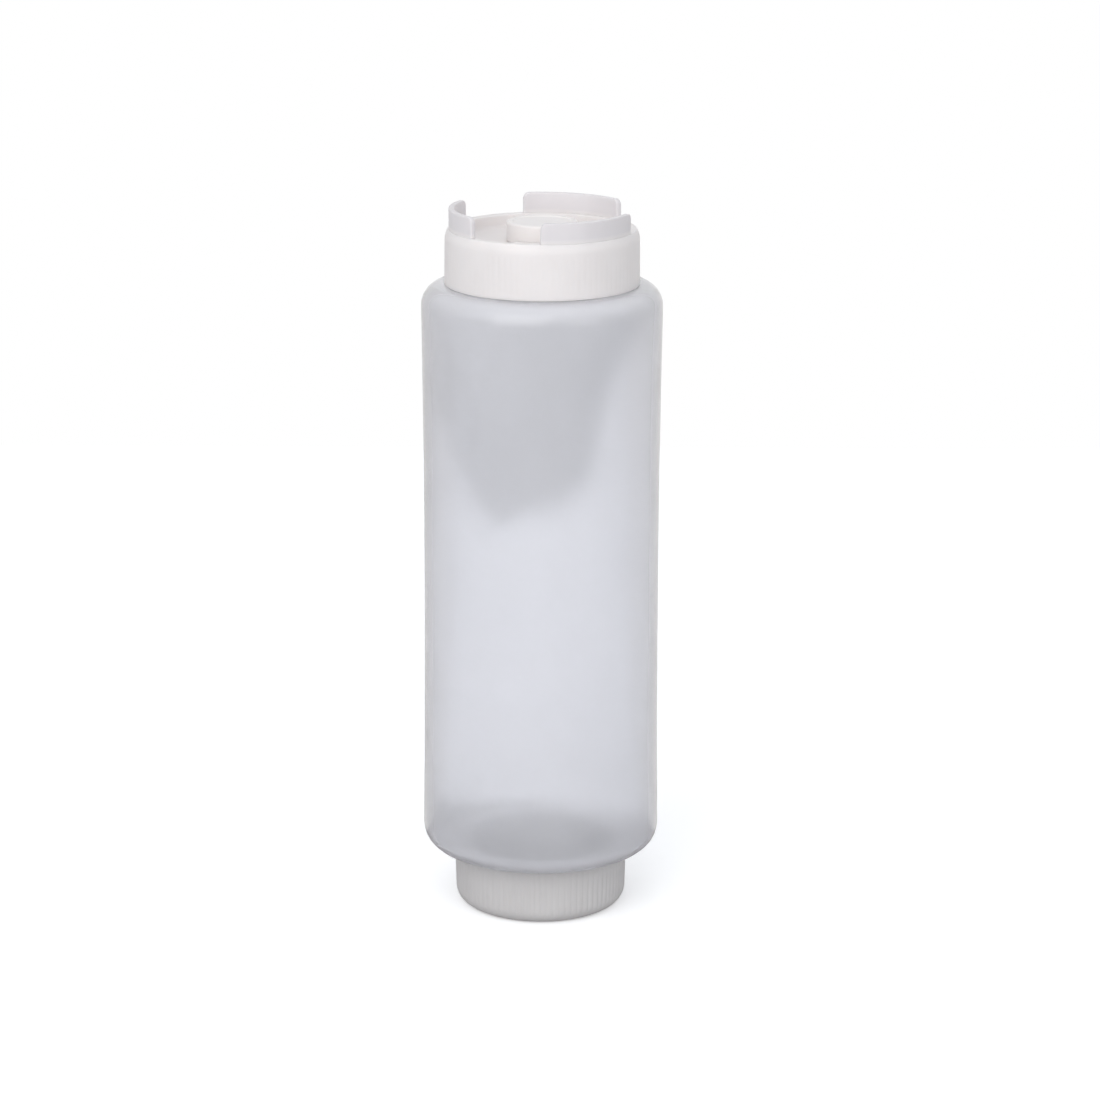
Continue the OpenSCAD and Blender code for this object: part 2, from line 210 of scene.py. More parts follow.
def spin_ridges(bm, radius, side, track, low, climb):
    """Thread ridges that climb a wall, outside a neck (side 1) or inside a cap (side -1)."""
    angle = climb / LEAD * TURN
    first = (low - track) / LEAD * TURN
    steps = 40
    fade = math.radians(24)
    root = radius - side * THREAD_BURY
    tip = radius + side * THREAD_DEPTH
    corners = [(root, -THREAD_BASE / 2), (tip, -THREAD_CREST / 2), (tip, THREAD_CREST / 2),
               (root, THREAD_BASE / 2)]
    for start in range(STARTS):
        ridge = bmesh.new()
        face = ridge.faces.new([ridge.verts.new((r, 0, low + z)) for r, z in corners])
        bmesh.ops.spin(ridge, geom=[face], cent=(0, 0, 0), axis=(0, 0, 1), dvec=(0, 0, climb / steps),
                       angle=angle, steps=steps, use_merge=False, use_duplicate=False)
        for v in ridge.verts:
            turned = math.atan2(v.co.y, v.co.x) % TURN
            turned = 0 if turned > TURN - 0.01 else turned
            r = math.hypot(v.co.x, v.co.y)
            past = (r - radius) * side
            if past > 0:
                keep = max(0.15, min(1, turned / fade, (angle - turned) / fade))
                scale = (radius + side * past * keep) / r
                v.co.x *= scale
                v.co.y *= scale
        bmesh.ops.rotate(ridge, verts=ridge.verts, cent=(0, 0, 0),
                         matrix=Matrix.Rotation(first + start * TURN / STARTS, 3, "Z"))
        join(bm, ridge)


def press_grooves(bm, count, depth, out_r, low, high, fade):
    """Presses fine upright grooves into the outside of a skirt, faded out at both ends."""
    for v in bm.verts:
        r = math.hypot(v.co.x, v.co.y)
        if r < out_r(v.co.z) - 1e-5 or not low <= v.co.z <= high:
            continue
        end = min(1, (v.co.z - low) / fade, (high - v.co.z) / fade)
        wave = max(0, math.cos(count * math.atan2(v.co.y, v.co.x)) + 0.25) / 1.25
        scale = 1 - depth * end * wave ** 1.5 / r
        v.co.x *= scale
        v.co.y *= scale


def finish_piece(bm, name, body, node, material, sharp=40):
    """Makes a piece of a bmesh, in place of a CAD node."""
    bmesh.ops.recalc_face_normals(bm, faces=bm.faces)
    mesh = bpy.data.meshes.new(name)
    bm.to_mesh(mesh)
    bm.free()
    mesh.shade_smooth()
    mesh.set_sharp_from_angle(angle=math.radians(sharp))
    piece = bpy.data.objects.new(name, mesh)
    bpy.context.scene.collection.objects.link(piece)
    mesh.materials.append(material)
    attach(piece, body)
    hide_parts(node)
    return piece


# Node helpers

def new_group(name, inputs, outputs):
    group = bpy.data.node_groups.new(name, "ShaderNodeTree")
    for label, kind, value in inputs:
        socket = group.interface.new_socket(label, in_out="INPUT", socket_type=kind)
        socket.default_value = value
    for label, kind in outputs:
        group.interface.new_socket(label, in_out="OUTPUT", socket_type=kind)
    return group, group.nodes.new("NodeGroupInput"), group.nodes.new("NodeGroupOutput")


def make_moulded_skin():
    """Slight mottling of a moulded plastic: uneven tint and gloss, and the fine grain of the mould."""
    group, given, out = new_group(
        "moulded_skin",
        [("Tint", "NodeSocketColor", (0.9, 0.9, 0.9, 1)),
         ("Shade", "NodeSocketColor", (0.8, 0.8, 0.8, 1)),
         ("Roughness", "NodeSocketFloat", 0.4),
         ("Patch Scale", "NodeSocketFloat", 60),
         ("Grain Scale", "NodeSocketFloat", 1600),
         ("Grain Height", "NodeSocketFloat", 0.00001)],
        [("Color", "NodeSocketColor"), ("Roughness", "NodeSocketFloat"), ("Normal", "NodeSocketVector")])
    nodes, links = group.nodes, group.links
    place = nodes.new("ShaderNodeTexCoord")
    patch = nodes.new("ShaderNodeTexNoise")
    patch.inputs["Detail"].default_value = 3
    links.new(place.outputs["Object"], patch.inputs["Vector"])
    links.new(given.outputs["Patch Scale"], patch.inputs["Scale"])
    spread = nodes.new("ShaderNodeMapRange")
    spread.inputs["From Min"].default_value = 0.35
    spread.inputs["From Max"].default_value = 0.65
    links.new(patch.outputs["Fac"], spread.inputs["Value"])
    tint = nodes.new("ShaderNodeMix")
    tint.data_type = "RGBA"
    links.new(spread.outputs["Result"], tint.inputs["Factor"])
    links.new(given.outputs["Shade"], tint.inputs["A"])
    links.new(given.outputs["Tint"], tint.inputs["B"])
    links.new(tint.outputs["Result"], out.inputs["Color"])
    gloss = nodes.new("ShaderNodeMath")
    gloss.operation = "MULTIPLY_ADD"
    gloss.inputs[1].default_value = 0.08
    links.new(spread.outputs["Result"], gloss.inputs[0])
    links.new(given.outputs["Roughness"], gloss.inputs[2])
    links.new(gloss.outputs["Value"], out.inputs["Roughness"])
    grain = nodes.new("ShaderNodeTexNoise")
    grain.inputs["Detail"].default_value = 2
    links.new(place.outputs["Object"], grain.inputs["Vector"])
    links.new(given.outputs["Grain Scale"], grain.inputs["Scale"])
    bump = nodes.new("ShaderNodeBump")
    links.new(grain.outputs["Fac"], bump.inputs["Height"])
    links.new(given.outputs["Grain Height"], bump.inputs["Distance"])
    links.new(bump.outputs["Normal"], out.inputs["Normal"])
    return group


moulded_skin = make_moulded_skin()


def paint_wall_shade(nodes, links, colour, height):
    """Paints shade on what stands above a height: a darker, cooler tint that stands in for the look of thin walls that
    let the light through.
    """
    place = nodes.new("ShaderNodeTexCoord")
    parts = nodes.new("ShaderNodeSeparateXYZ")
    links.new(place.outputs["Object"], parts.inputs["Vector"])
    rise = nodes.new("ShaderNodeMapRange")
    rise.inputs["From Min"].default_value = height
    rise.inputs["From Max"].default_value = height + 1.5 * MM
    links.new(parts.outputs["Z"], rise.inputs["Value"])
    wall_shade = nodes.new("ShaderNodeMix")
    wall_shade.data_type = "RGBA"
    wall_shade.blend_type = "MULTIPLY"
    # painted shade: the tint that darkens the standing walls above the rim
    wall_shade.inputs["B"].default_value = (0.89, 0.895, 0.92, 1)
    links.new(rise.outputs["Result"], wall_shade.inputs["Factor"])
    links.new(colour, wall_shade.inputs["A"])
    return wall_shade.outputs["Result"]


def plastic(name, tint, shade, roughness, grain_height=8e-6, patch_scale=60, grain_scale=1600,
            shade_above=None, **shader):
    """A moulded plastic or silicone. shader gives values for the shader's own sockets."""
    material = bpy.data.materials.new(name)
    material.use_nodes = True
    nodes, links = material.node_tree.nodes, material.node_tree.links
    surface = nodes["Principled BSDF"]
    skin = nodes.new("ShaderNodeGroup")
    skin.node_tree = moulded_skin
    skin.inputs["Tint"].default_value = (*tint, 1)
    skin.inputs["Shade"].default_value = (*shade, 1)
    skin.inputs["Roughness"].default_value = roughness
    skin.inputs["Patch Scale"].default_value = patch_scale
    skin.inputs["Grain Scale"].default_value = grain_scale
    skin.inputs["Grain Height"].default_value = grain_height
    colour = skin.outputs["Color"]
    # painted shade over what stands above shade_above
    if shade_above:
        colour = paint_wall_shade(nodes, links, colour, shade_above)
    links.new(colour, surface.inputs["Base Color"])
    links.new(skin.outputs["Roughness"], surface.inputs["Roughness"])
    links.new(skin.outputs["Normal"], surface.inputs["Normal"])
    for label, value in shader.items():
        surface.inputs[label.replace("_", " ")].default_value = value
    return material


milky = {"Subsurface_Weight": 0.35, "Subsurface_Radius": (1.0, 0.95, 0.9), "Subsurface_Scale": 1.2 * MM}
# cap_white carries painted shade on its walls above the rim
cap_white = plastic("cap_white", (0.87, 0.83, 0.815), (0.84, 0.80, 0.785), 0.38, shade_above=RIM_Z, **milky)
# painted light: the lid's white is lighter than the cap's, making up for the shade the walls cast on the lid
lid_lit_white = plastic("lid_lit_white", (0.90, 0.86, 0.84), (0.87, 0.83, 0.81), 0.36, **milky)
# painted shade: the refill cap's white is darker than the caps' white, standing in for the shadow under the body
refill_shaded_white = plastic("refill_shaded_white", (0.69, 0.67, 0.66), (0.66, 0.64, 0.63), 0.40, **milky)
body_clear = plastic("body_clear", (0.97, 0.97, 1.0), (0.94, 0.94, 0.97), 0.13, patch_scale=25,
                     Transmission_Weight=0.7, IOR=1.51)
seal_milk = plastic("seal_milk", (0.82, 0.82, 0.80), (0.78, 0.78, 0.76), 0.5, **milky)
valve_milk = plastic("valve_milk", (0.80, 0.81, 0.82), (0.76, 0.77, 0.78), 0.42, Transmission_Weight=0.3,
                     IOR=1.41)


# Pieces

def side_radius(z):
    """Outer radius of the body's side: it draws in smoothly to the waist from both ends."""
    low, high = FOOT_Z + FOOT_ROUND, SHOULDER_Z - SHOULDER_ROUND
    if z < WAIST_Z:
        return WAIST_R + (FOOT_R - WAIST_R) * ((WAIST_Z - z) / (WAIST_Z - low)) ** 2
    return WAIST_R + (BODY_R - WAIST_R) * ((z - WAIST_Z) / (high - WAIST_Z)) ** 2


def side_points(inset, steps=24):
    low, high = FOOT_Z + FOOT_ROUND, SHOULDER_Z - SHOULDER_ROUND
    heights = [low + (high - low) * i / steps for i in range(1, steps)]
    return [(side_radius(z) - inset, z) for z in heights]


def make_bottle_body():
    """Blown shell, with a wall of even thickness, soft shoulder and foot, and a threaded neck at each end."""
    wall = BODY_WALL
    outside = [
        (LOW_NECK_R, body_low[2], 0.4 * MM), (LOW_NECK_R, FOOT_Z, 0.8 * MM),
        (FOOT_R, FOOT_Z, FOOT_ROUND), *side_points(0), (BODY_R, SHOULDER_Z, SHOULDER_ROUND),
        (TOP_NECK_R, SHOULDER_Z, 0.8 * MM), (TOP_NECK_R, body_high[2], 0.4 * MM)]
    inside = [
        (TOP_NECK_R - NECK_WALL, body_high[2], 0.4 * MM), (TOP_NECK_R - NECK_WALL, SHOULDER_Z - wall, 1.2 * MM),
        (BODY_R - wall, SHOULDER_Z - wall, SHOULDER_ROUND - wall), *reversed(side_points(wall)),
        (FOOT_R - wall, FOOT_Z + wall, FOOT_ROUND - wall), (LOW_NECK_R - NECK_WALL, FOOT_Z + wall, 1.2 * MM),
        (LOW_NECK_R - NECK_WALL, body_low[2], 0.4 * MM)]
    bm = bmesh.new()
    spin_profile(bm, rounded(outside + inside, 8), 160)
    top = SHOULDER_Z + (body_high[2] - SHOULDER_Z - 4.8 * MM) / 2
    spin_ridges(bm, TOP_NECK_R, 1, top, top, 4.8 * MM)
    low = body_low[2] + THREAD_BASE / 2 + 1 * MM
    spin_ridges(bm, LOW_NECK_R, 1, low, low, 4.8 * MM)
    return finish_piece(bm, "blown_body", "bottle", "bottle_body", body_clear)


def make_refill_cap():
    """Ribbed screw cap with a softly rounded base."""
    high = refill_high[2]
    lean = (REFILL_R - REFILL_BASE_R) / high
    side = [(REFILL_BASE_R + lean * z, z) for z in (6 * MM, 8 * MM, 17 * MM, 18 * MM)]
    bm = bmesh.new()
    spin_profile(bm, rounded([
        (0, 0), (REFILL_BASE_R, 0, REFILL_ROUND), *side, (REFILL_R, high, 0.6 * MM),
        (REFILL_IN, high, 0.3 * MM), (REFILL_IN, REFILL_FLOOR, 0.8 * MM), (0, REFILL_FLOOR)], 8),
        REFILL_GROOVES * 8, closed=False)
    press_grooves(bm, REFILL_GROOVES, 0.14 * MM, lambda z: REFILL_BASE_R + lean * z - 2.2 * MM,
                  2.2 * MM, high - 0.9 * MM, 1.6 * MM)
    low = body_low[2] + THREAD_BASE / 2 + 1 * MM
    top = high - THREAD_BASE / 2 - 0.5 * MM
    spin_ridges(bm, REFILL_IN, -1, low - RIDGE_DROP, top - 4.4 * MM, 4.4 * MM)
    return finish_piece(bm, "ribbed_refill_cap", "refill_cap", "refill_cap", refill_shaded_white)


def add_standing_wall(bm, middle):
    """One curved wall on the rim: a flat block with rounded corners, bent round the cap."""
    length = WALL_OUT * WALL_TURN
    sunk = 1 * MM
    height = WALL_RISE + sunk
    wall = bmesh.new()
    bmesh.ops.create_cube(wall, size=1)
    bmesh.ops.scale(wall, verts=wall.verts, vec=(length, WALL_T, height))
    bmesh.ops.translate(wall, verts=wall.verts, vec=(0, 0, RIM_Z - sunk + height / 2))
    corners = [e for e in wall.edges if all(v.co.z > RIM_Z for v in e.verts)
               and abs(e.verts[0].co.x - e.verts[1].co.x) < 1e-6]
    bmesh.ops.bevel(wall, geom=corners, offset=2 * MM, segments=8, profile=0.5, affect="EDGES", material=-1)
    sides = [e for e in wall.edges if e.calc_face_angle(0) > math.radians(60)
             and any(v.co.z > RIM_Z for v in e.verts)]
    bmesh.ops.bevel(wall, geom=sides, offset=0.35 * MM, segments=3, profile=0.5, affect="EDGES", material=-1)
    cuts = 36
    for i in range(1, cuts):
        bmesh.ops.bisect_plane(wall, geom=[*wall.verts, *wall.edges, *wall.faces], dist=1e-7,
                               plane_co=(length * (i / cuts - 0.5), 0, 0), plane_no=(1, 0, 0))
    for v in wall.verts:
        a = middle + v.co.x / WALL_OUT
        r = WALL_OUT - WALL_T / 2 + v.co.y
        v.co = Vector((r * math.cos(a), r * math.sin(a), v.co.z))
    join(bm, wall)


def slab(bm, outline, low, high):
    """A straight block: an outline in the XY plane, drawn up from one height to another."""
    face = bm.faces.new([bm.verts.new((x, y, low)) for x, y in outline])
    made = bmesh.ops.extrude_face_region(bm, geom=[face])["geom"]
    top = [g for g in made if isinstance(g, bmesh.types.BMVert)]
    bmesh.ops.translate(bm, verts=top, vec=(0, 0, high - low))
    return list(face.verts) + top


def rod(bm, radius, length, segments=24):
    """A round rod on the Z axis, with slightly rounded ends."""
    made = bmesh.ops.create_cone(bm, cap_ends=True, segments=segments, radius1=radius, radius2=radius,
                                 depth=length)
    verts = made["verts"]
    mine = set(verts)
    rims = [e for e in bm.edges if e.verts[0] in mine and e.verts[1] in mine
            and abs(e.verts[0].co.z - e.verts[1].co.z) < 1e-7]
    before = set(bm.verts) - mine
    bmesh.ops.bevel(bm, geom=rims, offset=0.12 * MM, segments=2, profile=0.5, affect="EDGES", material=-1)
    return [v for v in bm.verts if v not in before]


def to_hinge(bm, verts, side=0.0):
    """Lays what stands on the Z axis along the hinge's axis, at the hinge."""
    across = Matrix.Rotation(math.radians(90), 4, "X")
    place = (Matrix.Rotation(HINGE_TURN, 4, "Z") @ Matrix.Translation((HINGE_OUT, side, HINGE_Z)) @ across)
    bmesh.ops.transform(bm, verts=verts, matrix=place)


def add_ear(bm, side):
    """One ear of the lid's hinge: a post with a round top and a true hole for the pin."""
    hole = [Vector((math.cos(a), math.sin(a))) * (PIN_R + PIN_GAP) for a in ring_angles(24)]
    deep = HINGE_Z - DECK_TOP + 0.6 * MM
    outside = []
    for a in ring_angles(24):
        x, y = math.cos(a) * EAR_R, math.sin(a) * EAR_R
        if y < -1e-6:
            x, y = (EAR_R if x > 0 else -EAR_R), -deep * min(1, abs(math.tan(a)) if abs(x) > 1e-6 else 1)
            x = x if abs(y) < deep else math.cos(a) / abs(math.sin(a)) * EAR_R
        outside.append(Vector((x, y)))
    rings = []
    for points in (hole, outside):
        verts = [bm.verts.new((p.x, p.y, -EAR_T / 2)) for p in points]
        rings.append([bm.edges.new(pair) for pair in zip(verts, verts[1:] + verts[:1])])
    made = bmesh.ops.bridge_loops(bm, edges=rings[0] + rings[1])
    faces = made["faces"]
    lifted = bmesh.ops.extrude_face_region(bm, geom=faces)["geom"]
    top = [g for g in lifted if isinstance(g, bmesh.types.BMVert)]
    bmesh.ops.translate(bm, verts=top, vec=(0, 0, EAR_T))
    verts = top + list({v for f in faces for v in f.verts})
    to_hinge(bm, verts, side * (EAR_IN + EAR_T / 2))


def ring_angles(count):
    return [TURN * i / count for i in range(count)]


def skirt_radius(z):
    """Outer radius of the dispensing cap's skirt, which widens a little towards its lower edge."""
    low = cap_low[2]
    return SKIRT_R + (SKIRT_LOW_R - SKIRT_R) * (SKIRT_TOP - z) / (SKIRT_TOP - low)


def press_scoop(bm):
    """Presses the finger scoop into the deck: a stretch of a lying cylinder, with soft ends, under the tab."""
    to_tab = Matrix.Rotation(-HINGE_TURN, 3, "Z")
    middle = Vector((-LID_R - TAB_OUT, 0, DECK_TOP - SCOOP_DEEP + SCOOP_R))
    reach = math.sqrt(SCOOP_R ** 2 - (SCOOP_R - SCOOP_DEEP) ** 2)

    def near(v, room=0.0):
        p = to_tab @ v.co
        return (abs(v.co.z - DECK_TOP) < 1e-6 and p.x < 0 and abs(p.y) < SCOOP_W / 2 + room
                and math.hypot(p.x, p.y) > TOWER_R + 0.1 * MM)

    spokes = {e for v in bm.verts if near(v, 6 * MM) for e in v.link_edges
              if all(abs(w.co.z - DECK_TOP) < 1e-6 for w in e.verts) and e.calc_length() > 10 * MM}
    bmesh.ops.subdivide_edges(bm, edges=list(spokes), cuts=32, use_grid_fill=True)
    for v in bm.verts:
        if near(v):
            p = to_tab @ v.co
            away = abs(p.x - middle.x)
            if away < reach:
                deep = DECK_TOP - (middle.z - math.sqrt(SCOOP_R ** 2 - away ** 2))
                side = min(1, (SCOOP_W / 2 - abs(p.y)) / SCOOP_SIDE)
                v.co.z -= deep * side * side * (3 - 2 * side)


def make_dispensing_cap():
    """Skirt with faint grooves, rim, sunken deck and outlet tower, with the walls and the ears on it."""
    bm = bmesh.new()
    low = SHOULDER_Z + 0.05 * MM
    skirt = [(skirt_radius(z), z) for z in (low + 1.2 * MM, low + 2.2 * MM, SKIRT_TOP - 1 * MM, SKIRT_TOP)]
    lean = [(SKIRT_R - RIM_ROUND * (1 - math.cos(RIM_LEAN * i / 8)), SKIRT_TOP + RIM_ROUND * math.sin(RIM_LEAN * i / 8))
            for i in range(1, 8)]
    rim_out = SKIRT_R - RIM_ROUND * (1 - math.cos(RIM_LEAN))
    spin_profile(bm, rounded([
        (SKIRT_IN, low, 0.3 * MM), (SKIRT_LOW_R, low, SKIRT_LIP), *skirt, *lean, (rim_out, RIM_Z, 0.4 * MM),
        (DISH_R, RIM_Z, 0.4 * MM), (DISH_R, DECK_TOP, 1.2 * MM), (TOWER_R, DECK_TOP, 0.5 * MM),
        (TOWER_R, TOWER_TOP, 0.5 * MM), (MOUTH_R, TOWER_TOP, 0.4 * MM), (MOUTH_R, LIP_Z),
        (BORE_R, LIP_Z), (BORE_R, DECK_UNDER, 0.2 * MM), (SKIRT_IN, DECK_UNDER, 0.6 * MM)], 5),
        CAP_GROOVES * 8)
    press_grooves(bm, CAP_GROOVES, 0.06 * MM, lambda z: skirt_radius(z) - 0.1 * MM, low + 1.1 * MM,
                  SKIRT_TOP + 0.1 * MM, 1 * MM)
    press_scoop(bm)
    for middle in WALL_MIDDLES:
        add_standing_wall(bm, math.radians(middle))
    for side in (-1, 1):
        add_ear(bm, side)
    top = SHOULDER_Z + (body_high[2] - SHOULDER_Z - 4.8 * MM) / 2
    spin_ridges(bm, SKIRT_IN, -1, top - RIDGE_DROP, cap_low[2] + THREAD_BASE / 2 + 0.5 * MM, 4.4 * MM)
    return finish_piece(bm, "walled_cap", "dispensing_cap", "dispensing_cap", cap_white)


def make_flip_lid():
    """Drum-shaped lid with a shallow dish, a plug ring, a thumb tab, and the hinge's barrel and pins."""
    low, high = lid_low[2], lid_high[2]
    under = high - LID_T
    inner = LID_R - LID_WALL
    bm = bmesh.new()
    spin_profile(bm, rounded([
        (0, under), (PLUG_R - PLUG_WALL, under, 0.2 * MM), (PLUG_R - PLUG_WALL, PLUG_Z, 0.3 * MM),
        (PLUG_R, PLUG_Z, 0.4 * MM), (PLUG_R, under, 0.2 * MM), (inner, under, 0.3 * MM),
        (inner, low, 0.2 * MM), (LID_R, low, 0.2 * MM), (LID_R, high, 0.8 * MM), (9.3 * MM, high, 0.3 * MM),
        (8.9 * MM, high - 0.4 * MM, 0.3 * MM), (0, high - 0.4 * MM)], 5), 144, closed=False)
    half = BARREL_L / 2
    arm = slab(bm, [(-3.2 * MM + 1.0 * MM, -0.9 * MM), (0, -0.9 * MM), (0, 0.9 * MM), (-2.2 * MM, 0.9 * MM)],
               -half, half)
    to_hinge(bm, arm)
    to_hinge(bm, rod(bm, BARREL_R, BARREL_L))
    to_hinge(bm, rod(bm, PIN_R, 2 * (EAR_IN + EAR_T)))
    outline = tab_outline()
    tab = slab(bm, outline, low + 0.05 * MM, low + TAB_T)
    mine = set(tab)
    before = set(bm.verts) - mine
    sides = [e for e in bm.edges if e.verts[0] in mine and e.verts[1] in mine and len(e.link_faces) == 2
             and e.calc_face_angle(0) > math.radians(30)]
    bmesh.ops.bevel(bm, geom=sides, offset=0.25 * MM, segments=3, profile=0.5, affect="EDGES", material=-1)
    tab = [v for v in bm.verts if v not in before]
    bmesh.ops.rotate(bm, verts=tab, cent=(0, 0, 0), matrix=Matrix.Rotation(HINGE_TURN, 3, "Z"))
    return finish_piece(bm, "drum_lid", "flip_lid", "flip_lid", lid_lit_white)


def tab_outline():
    """Plan of the thumb tab on the -X side: a stretch of the lid's side, and a wider arc outside it."""
    reach = LID_R + TAB_OUT
    inner = LID_R - LID_WALL / 2
    wide = math.asin(TAB_W / 2 / reach)
    narrow = math.asin(TAB_W / 2 / inner)
    steps = 8
    arc = [math.pi - wide + 2 * wide * i / steps for i in range(steps + 1)]
    back = [math.pi + narrow - 2 * narrow * i / steps for i in range(steps + 1)]
    return ([(reach * math.cos(a), reach * math.sin(a)) for a in arc]
            + [(inner * math.cos(a), inner * math.sin(a)) for a in back])


def make_ring(name, body, node, material, low, high, edge=0.35 * MM):
    """A sealing ring with softly rounded edges, as large as its node."""
    inner = {"refill_seal": LOW_NECK_R, "dispensing_seal": TOP_NECK_R}[node] - NECK_WALL - 0.8 * MM
    bm = bmesh.new()
    spin_profile(bm, rounded([(inner, low[2], edge), (high[0], low[2], edge), (high[0], high[2], edge),
                              (inner, high[2], edge)], 4), 128)
    return finish_piece(bm, name, body, node, material)


def make_retainer():
    """Flanged ring that holds the valve in the tower."""
    inner = 5.4 * MM
    flange = 1.2 * MM
    bm = bmesh.new()
    spin_profile(bm, rounded([
        (inner, ring_low[2], 0.3 * MM), (ring_high[0], ring_low[2], 0.3 * MM),
        (ring_high[0], ring_low[2] + flange, 0.2 * MM), (VALVE_R, ring_low[2] + flange),
        (VALVE_R, ring_high[2], 0.2 * MM), (inner, ring_high[2], 0.2 * MM)], 4), 96)
    return finish_piece(bm, "valve_ring", "dispensing_cap", "valve_retainer", cap_white)


make_bottle_body()
make_refill_cap()
make_dispensing_cap()
make_flip_lid()
make_ring("lower_seal_ring", "refill_seal", "refill_seal", seal_milk,
          refill_seal_low, refill_seal_high)
make_ring("upper_seal_ring", "dispensing_seal", "dispensing_seal", seal_milk,
          cap_seal_low, cap_seal_high)
make_retainer()
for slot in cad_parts["outlet_valve"].material_slots:
    slot.material = valve_milk


# Floor, light and camera

# Glow of the grey cards round the bottle; the dark glow is also the painted shadow under the bottle, and the reflected
# shade glow is painted shade in the gloss
DARK_CARD_AND_SHADOW = (0.12, 0.12, 0.12)
DARK_CARD_CORNER = (0.42, 0.42, 0.42)
REFLECTED_SHADE_GLOW = (0.38, 0.355, 0.355)
LEFT_CARD = (0.80, 0.78, 0.76)
RIGHT_CARD = (0.92, 0.905, 0.88)

# Outlines of grey cards, in millimetres: one upright behind the bottle and two flat under it, of which one is a painted
# shadow that shows through the body and the other painted shade that shows in its gloss
CARD_BEHIND = [(-64, 152), (-36, 142), (-27, 116), (-16, 106), (-7, 110), (7, 112), (18, 124), (22, 147),
               (30, 167), (42, 178), (62, 184), (30, 182), (0, 179), (-30, 181), (-64, 186)]
SHADOW_UNDER_OUTLINE = [(-130, 70), (-110, 118), (-60, 108), (-34, 94), (-18, 82), (0, 76), (17, 68), (34, 68),
              (60, 78), (110, 100), (120, 60), (52, 20), (38, -30), (0, -40), (-38, -30), (-52, 20)]
CARD_ROUND = [(140 * math.cos(a), 140 * math.sin(a)) for a in ring_angles(24)]


def any_of(nodes, links, path, *rays):
    """A node that gives 1 for any of these kinds of ray."""
    last = path.outputs[rays[0]]
    for ray in rays[1:]:
        either = nodes.new("ShaderNodeMath")
        either.operation = "MAXIMUM"
        links.new(last, either.inputs[0])
        links.new(path.outputs[ray], either.inputs[1])
        last = either.outputs["Value"]
    return either


def make_floor():
    """Pale floor, which keeps the bottle's shadow and turns plain white in the distance."""
    bm = bmesh.new()
    bmesh.ops.create_grid(bm, x_segments=1, y_segments=1, size=1)
    bmesh.ops.scale(bm, verts=bm.verts, vec=(3, 2.6, 1))
    bmesh.ops.translate(bm, verts=bm.verts, vec=(0, -2.6 + 0.62, 0))
    mesh = bpy.data.meshes.new("floor")
    bm.to_mesh(mesh)
    bm.free()
    floor = bpy.data.objects.new("floor", mesh)
    bpy.context.scene.collection.objects.link(floor)
    material = bpy.data.materials.new("pale_floor")
    material.use_nodes = True
    nodes, links = material.node_tree.nodes, material.node_tree.links
    surface = nodes["Principled BSDF"]
    surface.inputs["Roughness"].default_value = 0.9
    surface.inputs["Specular IOR Level"].default_value = 0.0
    path = nodes.new("ShaderNodeLightPath")
    colour = nodes.new("ShaderNodeMix")
    colour.data_type = "RGBA"
    colour.inputs["A"].default_value = (0.60, 0.60, 0.61, 1)
    seen = any_of(nodes, links, path, "Is Camera Ray", "Is Transmission Ray", "Is Glossy Ray")
    links.new(seen.outputs["Value"], colour.inputs["Factor"])
    place = nodes.new("ShaderNodeTexCoord")
    away = nodes.new("ShaderNodeVectorMath")
    away.operation = "LENGTH"
    links.new(place.outputs["Object"], away.inputs[0])
    far = nodes.new("ShaderNodeMapRange")
    far.inputs["From Min"].default_value = 0.7
    far.inputs["From Max"].default_value = 1.6
    links.new(away.outputs["Value"], far.inputs["Value"])
    fade = nodes.new("ShaderNodeMix")
    fade.data_type = "RGBA"
    fade.inputs["A"].default_value = (0.98, 0.98, 0.98, 1)
    fade.inputs["B"].default_value = (0, 0, 0, 1)
    links.new(far.outputs["Result"], fade.inputs["Factor"])
    links.new(fade.outputs["Result"], colour.inputs["B"])
    links.new(colour.outputs["Result"], surface.inputs["Base Color"])
    strength = nodes.new("ShaderNodeMapRange")
    strength.inputs["To Min"].default_value = 0.35
    strength.inputs["To Max"].default_value = 1
    links.new(far.outputs["Result"], strength.inputs["Value"])
    glow = nodes.new("ShaderNodeMath")
    glow.operation = "MULTIPLY"
    links.new(strength.outputs["Result"], glow.inputs[1])
    links.new(seen.outputs["Value"], glow.inputs[0])
    surface.inputs["Emission Color"].default_value = (1, 1, 1, 1)
    links.new(glow.outputs["Value"], surface.inputs["Emission Strength"])
    mesh.materials.append(material)


def make_card(name, outline, colour, place, turn=(0, 0, 0)):
    """A grey studio card, upright if not turned, which the camera never sees by itself."""
    bm = bmesh.new()
    bm.faces.new([bm.verts.new((x, 0, z)) for x, z in outline])
    bmesh.ops.rotate(bm, verts=bm.verts, cent=(0, 0, 0), matrix=Euler(turn).to_matrix())
    bmesh.ops.translate(bm, verts=bm.verts, vec=place)
    mesh = bpy.data.meshes.new(name)
    bm.to_mesh(mesh)
    bm.free()
    card = bpy.data.objects.new(name, mesh)
    bpy.context.scene.collection.objects.link(card)
    material = bpy.data.materials.new(name)
    material.use_nodes = True
    surface = material.node_tree.nodes["Principled BSDF"]
    surface.inputs["Base Color"].default_value = (0, 0, 0, 1)
    surface.inputs["Specular IOR Level"].default_value = 0
    surface.inputs["Emission Color"].default_value = (*colour, 1)
    surface.inputs["Emission Strength"].default_value = 1
    mesh.materials.append(material)
    card.visible_camera = False
    card.visible_diffuse = False
    card.visible_shadow = False
    return card


